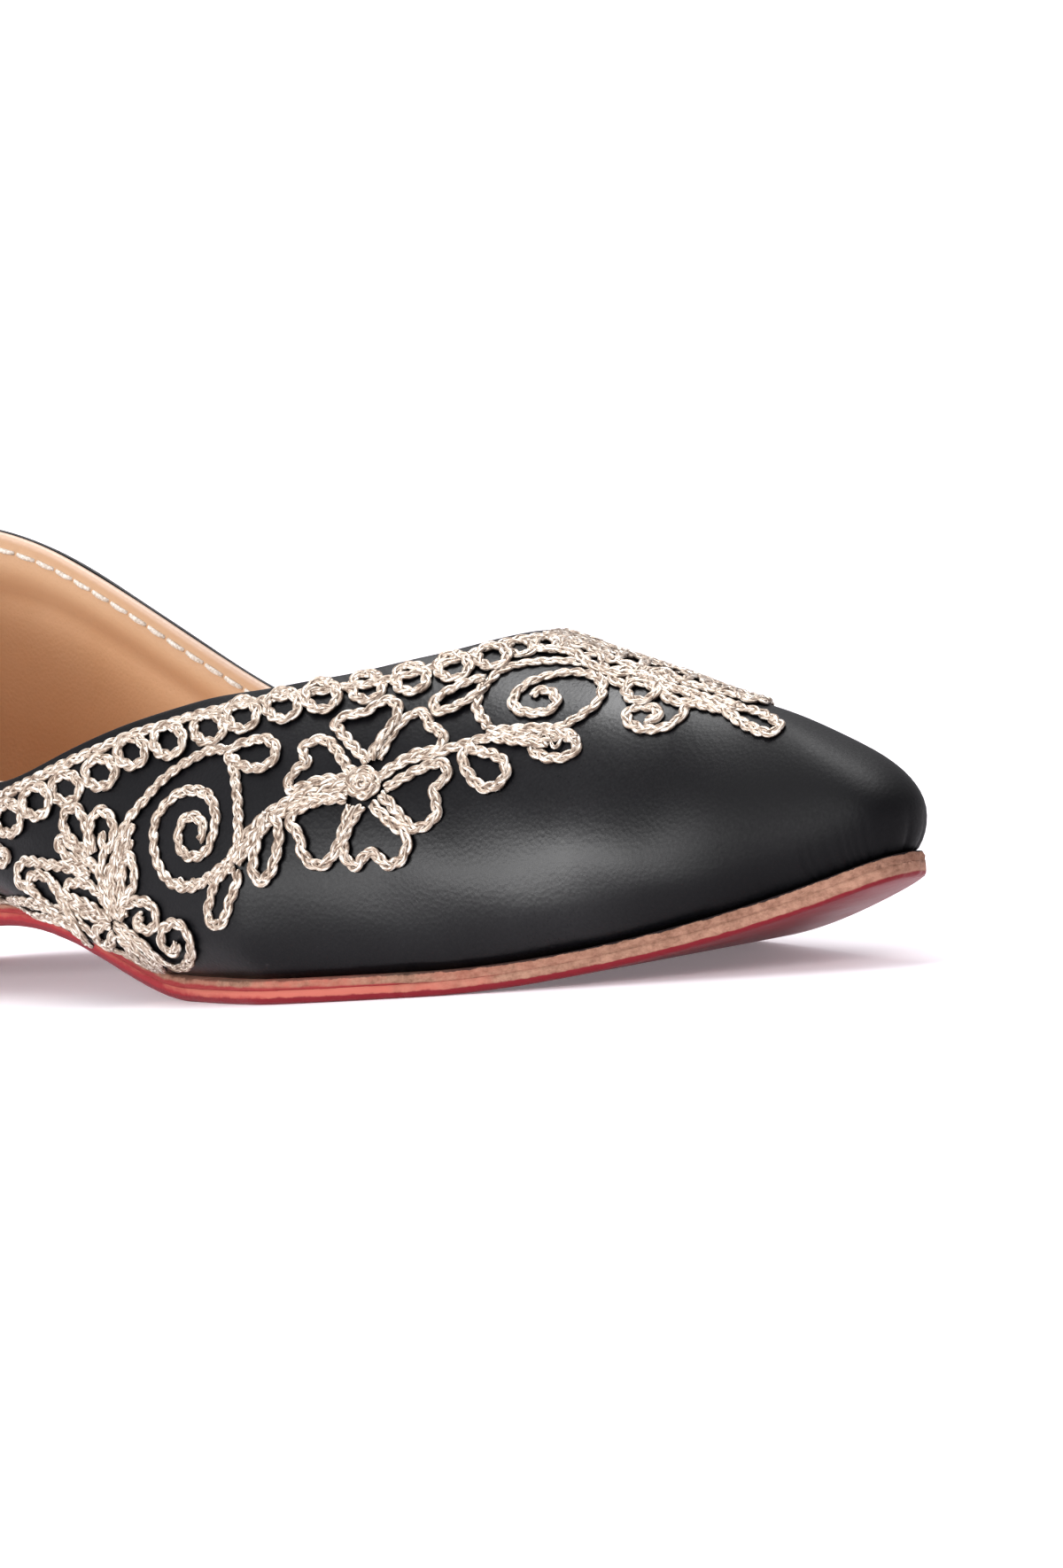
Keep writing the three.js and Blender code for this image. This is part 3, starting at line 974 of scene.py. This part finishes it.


# Pixel routes, each pixel's x and then its y
routes = {
    "spiral": (255,976, 240,989, 222,1000, 206,1001, 191,993, 179,973, 175,948, 179,922, 199,899, 219,893,
        237,899, 245,920, 242,942, 236,959, 226,966, 214,967, 205,958, 203,942, 208,927, 218,922, 229,927,
        231,941, 226,949),
    "spiralLine": (258,850, 266,871, 270,904, 271,940, 268,960, 255,979),
    "stem": (258,848, 240,849, 224,856, 204,868, 184,884, 166,904, 153,919, 143,935, 137,953, 132,973,
        129,999, 134,1037),
    "stemLow": (141,945, 135,965, 131,990, 131,1012, 135,1037),
    "stemTwin": (152,930, 140,960, 124,985, 122,1010, 127,1040),
    "leafTop": (258,852, 270,843, 288,838, 303,836, 314,847, 308,862, 293,869, 276,866, 262,856),
    "pendantRight": (303,918, 295,940, 289,965, 288,985, 296,996, 307,986, 315,961, 317,936, 308,919),
    "pendantLeft": (266,976, 247,992, 239,1016, 236,1034, 245,1045, 255,1037, 261,1016, 269,996, 269,982),
    "stemRight": (262,972, 270,957, 283,940, 301,922, 321,909, 344,899, 370,893, 392,884),
    "petalTop": (419,862, 404,848, 390,832, 380,819, 394,810, 414,807, 429,797, 443,793, 452,802, 448,816,
        437,830, 425,848, 420,860),
    "petalTopRight": (428,858, 442,832, 455,816, 469,806, 481,807, 486,820, 499,828, 501,840, 491,848,
        469,852, 448,864, 432,875),
    "petalRight": (436,892, 464,875, 489,864, 502,863, 507,872, 501,884, 491,890, 493,904, 495,919, 484,931,
        469,936, 457,926, 440,906, 430,898),
    "petalLow": (421,908, 435,922, 450,935, 461,943, 461,959, 452,973, 437,976, 427,965, 415,964, 405,978,
        393,971, 390,951, 397,931, 411,910),
    "petalLowLeft": (394,903, 367,904, 345,912, 331,922, 331,933, 341,945, 343,963, 357,977, 372,974,
        384,955, 391,934, 398,910),
    "petalLeft": (398,880, 365,881, 342,889, 328,893, 327,883, 337,868, 349,862, 343,852, 344,843, 356,837,
        368,836, 380,846, 392,865, 404,876),
    "stemOut": (429,880, 459,860, 492,852, 524,842, 554,834, 579,831, 612,832),
    "leafHang": (526,845, 524,860, 530,873, 539,885, 551,891, 565,886, 573,876, 571,862, 558,853, 542,850,
        528,843),
    "leafBack": (550,768, 529,773, 504,785, 492,795, 495,806, 512,802, 534,790, 548,777),
    "spiralTwo": (553,822, 540,803, 541,787, 554,769, 571,756, 603,749, 641,748, 668,752),
    "spiralTwoIn": (612,829, 630,824, 653,812, 675,795, 681,777, 671,765, 646,761, 616,766, 594,775,
        581,789, 582,800, 594,806, 616,806, 629,797, 626,785, 611,781, 601,788),
    "bandOne": (551,827, 579,826, 604,824, 632,826, 652,836),
    "bandTwo": (556,834, 582,838, 606,840, 622,842),
    "leafBand": (600,843, 606,851, 623,857, 645,853, 653,841, 641,832, 621,834),
    "ridgeOne": (612,718, 640,722, 668,736, 694,748, 724,756, 752,768, 780,775, 812,784, 846,791, 868,796),
    "ridgeTwist": (634,717, 650,733, 674,731, 692,750, 708,738, 728,748, 722,765, 746,759, 768,772, 788,766,
        806,783, 826,780, 844,794, 864,790),
    "ridgeTwo": (626,736, 650,742, 672,757, 698,764, 722,764, 748,776, 780,786, 812,796, 835,800),
    "ridgeCoil": (640,724, 655,742, 680,742, 684,760, 706,756, 716,772, 738,768, 752,784, 772,780, 790,795,
        812,790, 832,803),
    "ridgeThree": (668,756, 690,768, 706,776, 724,773, 742,780, 760,793, 788,797, 812,803),
    "throatCoil": (604,724, 616,722, 634,724, 640,732, 628,737, 610,735, 603,728),
    "ringSmall": (745,774, 740,788, 726,795, 712,791, 708,780, 718,772, 734,770),
    "spiralSmall": (776,795, 771,809, 752,822, 726,824, 709,815, 711,803, 728,799, 743,803, 743,812,
        729,814),
    "leafTip": (788,797, 817,803, 834,815, 858,827, 873,829, 881,821, 864,809, 846,803, 818,799),
    "leafUpA": (103,963, 88,953, 75,935, 76,917, 89,913, 98,927, 102,947, 106,965),
    "leafUpB": (110,963, 105,940, 109,921, 120,916, 130,927, 132,943, 125,963),
    "leafSideA": (101,975, 82,970, 69,957, 68,946, 79,950, 95,965, 112,982),
    "leafSideB": (104,988, 77,979, 51,975, 31,972, 22,983, 25,997, 42,1005),
    "leafLongA": (128,1040, 104,1022, 76,1010, 56,990, 40,988, 36,998, 50,1016, 74,1036, 97,1052),
    "leafLongB": (60,992, 76,1019, 94,1050, 109,1071),
    "leafMid": (126,1032, 118,1014, 100,998, 79,998, 77,1010, 88,1024, 106,1034, 124,1040),
    "leafTall": (134,1030, 134,1000, 138,976, 148,966, 154,983, 153,1000, 143,1017, 136,1034),
    "coilSide": (138,1040, 143,1024, 157,1017, 173,1021, 180,1036, 174,1049, 161,1047, 156,1038, 165,1034),
    "coilLow": (140,1046, 163,1062, 180,1077, 198,1088, 213,1086, 219,1071, 215,1053, 204,1042, 190,1045,
        185,1058, 190,1070, 201,1072, 203,1062),
    "leafLow": (138,1052, 153,1060, 168,1073, 184,1097, 170,1094, 153,1079, 141,1063),
    "leafSmall": (128,1042, 113,1047, 113,1060, 124,1066, 132,1052),
    "stemThird": (118,940, 121,965, 116,985, 122,1005, 129,1027),
    "fillThree": (130,1044, 145,1054, 160,1066, 176,1082, 183,1095),
    "ladderOne": (192,988, 199,1003, 206,990, 213,1005, 220,991, 227,1004, 234,989, 241,1001, 248,985),
    "ladderTwo": (560,838, 572,825, 583,842, 594,826, 605,845, 616,828, 628,847, 640,831, 652,845),
    "hemOne": (-30,1016, 0,1021, 26,1025, 51,1032, 77,1040, 97,1057, 115,1072, 140,1084, 164,1096),
    "sideBit": (-20,955, 0,958, 12,967, 2,975, -20,972, -34,963, -20,955),
}
twinRoutes = {
    "stemLow": (-9,),
    "stemRight": (9,),
    "hemOne": (-9,),
    "leafLow": (7,),
}
flower = {"centre": (412, 885), "radii": (15, 8, 2), "flatness": 0.9, "points": 10, "turn": 6.6}
ringPixels = {
    "centres": (13,929, 44,910, 76,895, 115,878, 151,855, 193,843, 237,828, 275,813, 321,803, 365,793,
        415,781, 465,771, 513,757, 557,745, 588,733, 616,729),
    "width": [14, 15, 16, 17, 16, 17, 17, 17, 18, 18, 18, 18, 18, 17, 15, 14],
    "height": [17, 17, 16, 16, 16, 17, 16, 17, 16, 16, 15, 15, 14, 12, 8, 6],
    "starts": (-2.2, -1.0),
    "overlap": 0.35,
    "points": 13,
    # less towards the throat
    "rise": ((400, 5), (600, 0)),
    "lineRise": ((400, 4), (600, -3)),
    "line": (0,905, 38,886, 76,867, 115,850, 153,834, 191,823, 230,811, 268,803, 306,795, 344,789, 383,783,
        420,777, 447,770, 474,762, 500,753, 527,742, 554,731, 575,724, 597,719, 616,717),
}


def pairs(flat):
    return list(zip(flat[::2], flat[1::2]))


def ringTurns(first):
    return np.linspace(first, first + 2 * math.pi + ringPixels["overlap"], ringPixels["points"])


def layRoutes():
    for name, flat in routes.items():
        points = pairs(flat)
        layPixels(points, braid["thread"] if name.startswith("ladder") else 1)
        for offset in twinRoutes.get(name, ()):
            layPixels(beside(points, offset))
    x, y = flower["centre"]
    turns = np.linspace(0, flower["turn"], flower["points"])
    for size in flower["radii"]:
        layPixels([(x + size * math.cos(a), y + size * flower["flatness"] * math.sin(a)) for a in turns])
    chance = random.Random(5)
    lineRise = straightCurve(ringPixels["lineRise"])
    ringRise = straightCurve(ringPixels["rise"])
    layPixels([(x, y - lineRise(x)) for x, y in pairs(ringPixels["line"])])
    for (x, y), wide, high in zip(pairs(ringPixels["centres"]), ringPixels["width"], ringPixels["height"]):
        turns = ringTurns(chance.uniform(*ringPixels["starts"]))
        layPixels([(x + wide * math.cos(a), y - ringRise(x) + high * math.sin(a)) for a in turns])


# What the photograph hides is set out along the topline, in shoe sizes
topRun = runAlong(sections[firstOpen:, -1])


def onWall(along, drop):    # along the topline from the throat towards the heel, and down from it, in mm
    along = min(max(along, 0), topRun[-1] - 1e-6)
    i = int(np.searchsorted(topRun, along, side="right")) - 1
    share = (along - topRun[i]) / (topRun[i + 1] - topRun[i])
    ends = []
    for k in (i, i + 1):
        line = outerSkin[::-1, firstOpen + k]
        ends.append(alongLine(line, [drop])[0][0])
    return Vector(ends[0] * (1 - share) + ends[1] * share)


def wallHeight(along):
    i = min(int(np.searchsorted(topRun, along)), len(topRun) - 1)
    return alongLine(outerSkin[::-1, firstOpen + i], [0])[1]


def layWall(points):
    cordLines.append(([onWall(p[0], p[1]) for p in rounded([(a, b, 0) for a, b in points])], 1))


hidden = {
    "lineDrop": 3.0,
    "lineSway": 0.12,
    "lineStep": 2,
    "ringDrop": 6.6,
    "ringWide": 3.0,
    "ringHigh": 2.1,
    "ringStarts": (0, 1.2),
    "pitch": 8.2,
    "hemStart": 4,
    "hemRise": 5.0,
    "hemPoints": 40,
    "spiralStart": 0.6,
    "spiralTurns": 1.9,
    "spiralPoints": 9,    # in one turn
    "spiralHeart": 0.18,
    # place along the topline, share of the wall's height, size, way round
    "spirals": ((118, 0.62, 6.0, 1), (143, 0.6, 8.0, -1), (170, 0.56, 9.0, 1)),
    "stems": (
        ((104, 0.9), (112, 0.55), (124, 0.42), (131, 0.6)),
        ((131, 0.6), (140, 0.36), (154, 0.4), (158, 0.66)),
        ((158, 0.66), (167, 0.34), (177, 0.33), (183, 0.5), (179, 0.68)),
    ),
    # place along, share of the height, angle, length, width
    "leaves": (
        (126, 0.45, -1.0, 9, 2.2), (131, 0.62, 1.2, 9, 2.4), (131, 0.62, 2.2, 8, 2.2),
        (156, 0.42, -1.2, 10, 2.4), (158, 0.66, 1.0, 10, 2.6), (158, 0.66, 2.1, 9, 2.4),
        (183, 0.5, -1.2, 10, 2.4), (183, 0.52, 0.9, 9, 2.4), (110, 0.72, 2.4, 7, 2.0),
    ),
    "leafLoop": (
        (0, 0), (0.25, 0.7), (0.6, 1), (0.92, 0.6), (1, 0), (0.92, -0.6), (0.6, -1), (0.25, -0.7), (0, 0)),
}


def laySpiral(along, drop, size, way):
    turns = hidden["spiralTurns"]
    start = hidden["spiralStart"]
    angles = np.linspace(start, start + turns * 2 * math.pi, int(turns * hidden["spiralPoints"]))
    points = []
    for a, share in zip(angles, np.linspace(1, hidden["spiralHeart"], len(angles))):
        points.append((along + way * size * share * math.cos(a), drop + size * share * math.sin(a)))
    layWall(points)


def layLeaf(along, drop, angle, length, wide):
    points = []
    for u, v in hidden["leafLoop"]:
        sideways = length * u * math.cos(angle) - wide * v * math.sin(angle)
        points.append((along + sideways, drop + length * u * math.sin(angle) + wide * v * math.cos(angle)))
    layWall(points)


def layHidden():
    seen = onLeather(*ringPixels["line"][:2])    # the row goes on from the photograph's left edge
    edges = sections[firstOpen:, -1]
    start = float(topRun[int(np.argmin(np.linalg.norm(edges - np.array(tuple(seen)), axis=1)))])
    length = float(topRun[-1])
    print("topline run", round(length, 1), "hidden from", round(start, 1))
    steps = int((length - start) / hidden["lineStep"])
    drops = [hidden["lineDrop"] + hidden["lineSway"] * math.sin(k * 1.9) for k in range(steps + 1)]
    layWall([(start + (length - start) * k / steps, drop) for k, drop in enumerate(drops)])
    count = int((length - start) / hidden["pitch"])
    wide = hidden["ringWide"]
    high = hidden["ringHigh"]
    chance = random.Random(8)
    for k in range(count):
        middle = start + (k + 0.5) * (length - start) / count
        turns = ringTurns(chance.uniform(*hidden["ringStarts"]))
        layWall([(middle + wide * math.cos(a), hidden["ringDrop"] + high * math.sin(a)) for a in turns])
    hem = np.linspace(start + hidden["hemStart"], length, hidden["hemPoints"])
    layWall([(a, wallHeight(a) - hidden["hemRise"]) for a in hem])
    for along, share, size, way in hidden["spirals"]:
        laySpiral(along, wallHeight(along) * share, size, way)
    for stem in hidden["stems"]:
        layWall([(a, wallHeight(a) * share) for a, share in stem])
    for along, share, angle, long, wide in hidden["leaves"]:
        layLeaf(along, wallHeight(along) * share, angle, long, wide)


layRoutes()
layHidden()
print("cord lines:", len(cordLines))


def evenLine(points, step):
    line = np.array([tuple(p) for p in points])
    length = alongLine(line, [0])[1]
    count = max(int(length / step), 3)
    return alongLine(line, np.linspace(0, length, count + 1))[0]


def tubeFaces(faces, start, count, sides):    # rings of points joined up, and closed at both ends
    for k in range(count - 1):
        joinRows(faces, start + k * sides, start + (k + 1) * sides, sides)
    for first in (start, start + (count - 1) * sides):
        faces.append(tuple(first + s for s in range(sides)))


def braidMesh(lines, side):
    points = []
    faces = []
    tops = []
    alongs = []
    arounds = []
    sides = braid["sides"]
    for number, (raw, size) in enumerate(lines):
        line = evenLine(raw, braid["step"])
        if side < 0:
            onRidge = abs(line[:, 1].mean()) < braid["ridgeWide"]    # these belong to both sides
            if onRidge or line[:, 0].max() > braid["tipX"]:
                continue
            line = line * np.array([1, -1, 1])
        for _ in range(2):
            line[1:-1] = (line[:-2] + 2 * line[1:-1] + line[2:]) / 4
        seats = [skinTree.find_nearest(Vector(p)) for p in line]
        line = np.array([tuple(hit[0]) for hit in seats])
        normal = np.array([tuple(hit[1]) for hit in seats])
        inward = (normal * (line - np.array([0, 0, braid["insideZ"]]))).sum(axis=1) < 0
        normal[inward] *= -1
        for _ in range(2):
            normal[1:-1] = normal[:-2] + 2 * normal[1:-1] + normal[2:]
            normal = unit(normal)
        across = unit(np.cross(unit(np.gradient(line, axis=0)), normal))
        travel = runAlong(line)
        extra = braid["stagger"] * (number % braid["staggers"])
        for strand in range(braid["strands"]):
            phase = 2 * math.pi * (travel / braid["period"] + strand / braid["strands"])
            middle = line + across * (braid["swing"] * size * np.sin(phase))[:, None]
            middle = middle + normal * (braid["lift"] + extra + braid["weave"] * np.sin(2 * phase))[:, None]
            start = len(points)
            shift = braid["strandShift"] * strand + braid["lineShift"] * number
            for k, p in enumerate(middle):
                thin = size * (braid["endSize"] if k in (0, len(middle) - 1) else 1)
                for s in range(sides):
                    # the seam lies against the leather
                    angle = 2 * math.pi * (s + 0.5) / sides - math.pi / 2
                    wide = braid["wide"] * math.cos(angle)
                    thick = braid["thick"] * math.sin(angle)
                    points.append(p + (across[k] * wide + normal[k] * thick) * thin)
                    # how high this point lies in the weave, for the cord's painted shade
                    high = braid["weave"] * math.sin(2 * phase[k]) + thick
                    tops.append(0.5 + 0.5 * high / (braid["weave"] + braid["thick"]))
                    alongs.append(travel[k] + shift)
                    arounds.append(s / sides)
            tubeFaces(faces, start, len(middle), sides)
    return points, faces, {"top": tops, "along": alongs, "around": arounds}


def layBraids():
    half = len(cordLines) // 2
    for label, lines, side in (
        ("near_a", cordLines[:half], 1), ("near_b", cordLines[half:], 1),
        ("far_a", cordLines[:half], -1), ("far_b", cordLines[half:], -1),
    ):
        points, faces, values = braidMesh(lines, side)
        linkPiece("embroidery_" + label, points, faces, finishes["cord"], values)
        print("embroidery", label, len(faces) * 2, "triangles")


layBraids()


# Lining stitches below the edge
stitchRow = {
    "start": 1,
    "drop": 2.1,
    "pitch": 4.0,
    "length": 3.5,
    "radius": 0.44,
    "endShare": 0.75,
    "lift": 0.02,
    "bow": 0.26,
    "sides": 6,
    "steps": 7,
    "normalRow": -4,    # the lining's row whose outward directions they take
}


def makeStitches():
    inner = (outerGrid - outerNormal * upperSkin["wallThick"])[::-1]
    columns = [i for i in range(ringCount) if openColumn[i]]
    line = np.array([alongLine(inner[:, i], [stitchRow["drop"]])[0][0] for i in columns])
    normal = -outerNormal[stitchRow["normalRow"]][columns]
    run = runAlong(line)
    points = []
    faces = []
    sides = stitchRow["sides"]
    steps = stitchRow["steps"]
    ends = stitchRow["endShare"]
    for k in range(int(run[-1] / stitchRow["pitch"])):
        start = k * stitchRow["pitch"] + stitchRow["start"]
        at = np.linspace(start, start + stitchRow["length"], steps)
        mid = np.stack([np.interp(at, run, line[:, c]) for c in range(3)], axis=1)
        out = np.stack([np.interp(at, run, normal[:, c]) for c in range(3)], axis=1)
        along = mid[-1] - mid[0]
        along /= np.linalg.norm(along)
        side = np.cross(along, out[0])
        first = len(points)
        for j in range(steps):
            bow = math.sin(math.pi * j / (steps - 1))
            centre = mid[j] + out[j] * (stitchRow["bow"] * bow + stitchRow["lift"])
            size = stitchRow["radius"] * (ends + (1 - ends) * bow)
            for s in range(sides):
                angle = 2 * math.pi * s / sides
                points.append(centre + (side * math.cos(angle) + out[j] * math.sin(angle)) * size)
        tubeFaces(faces, first, steps, sides)
    linkPiece("lining_stitches", points, faces, finishes["thread"])


makeStitches()


# Floor, daylight tent and soft lamps
studio = {
    "tent": (0.97, 0.95, 1.0, 1),
    "tentStrength": 0.78,
    "floorGlow": 0.16,
    "floorSize": 12.0,
    "floorPale": (0.98, 0.94, 0.97, 1),
    "floorShade": (0.96, 0.92, 0.95, 1),
    "floorRoughness": 0.9,
    "floorGloss": 0.1,
    "high": {"aim": (-0.5, 0.0, 0.87), "strength": 2.3, "angle": 60.0},
    "boxes": (
        # name, place in metres, aim, width, height, watts, lights matt surfaces
        ("near", (-0.25, -1.45, 0.37), (0.03, 0, 0.03), 0.8, 0.42, 19, True),
        ("top", (-0.15, 0.12, 1.35), (0.1, 0, 0.02), 0.9, 0.9, 38, False),
    ),
}


def addLamp(data, aim):
    lamp = placed(data.name, data)
    lamp.rotation_mode = "QUATERNION"
    lamp.rotation_quaternion = aim.to_track_quat("-Z", "Y")
    return lamp


def addStudio():
    world = bpy.data.worlds.new("studio")
    bpy.context.scene.world = world
    world.use_nodes = True
    sky = next(n for n in world.node_tree.nodes if n.type == "BACKGROUND")
    sky.inputs["Color"].default_value = studio["tent"]
    sky.inputs["Strength"].default_value = studio["tentStrength"]
    high = studio["high"]
    data = bpy.data.lights.new("high", "SUN")
    data.energy = high["strength"]
    data.angle = math.radians(high["angle"])
    lamp = addLamp(data, -Vector(high["aim"]))
    lamp.visible_glossy = False    # it casts the soft shadow, and the boxes make the highlights
    for name, place, aim, wide, tall, watts, litMatt in studio["boxes"]:
        data = bpy.data.lights.new(name, "AREA")
        data.shape = "RECTANGLE"
        data.size = wide
        data.size_y = tall
        data.energy = watts
        lamp = addLamp(data, Vector(aim) - Vector(place))
        lamp.visible_diffuse = litMatt
        lamp.location = place
    board = Board("floor", Roughness=studio["floorRoughness"], Specular_IOR_Level=studio["floorGloss"],
                  Emission_Color=studio["tent"], Emission_Strength=studio["floorGlow"])
    floorColor = board.mix(board.noise(3, 2), studio["floorShade"], studio["floorPale"])
    half = studio["floorSize"]
    mesh = bpy.data.meshes.new("floor")
    corners = [(-half, -half, 0), (half, -half, 0), (half, half, 0), (-half, half, 0)]
    mesh.from_pydata(corners, [], [(0, 1, 2, 3)])
    mesh.materials.append(board.feed(Base_Color=floorColor))
    placed("floor", mesh)
    bpy.context.scene.view_settings.view_transform = "Standard"


addStudio()
print("studio lit")

bpy.context.view_layer.update()
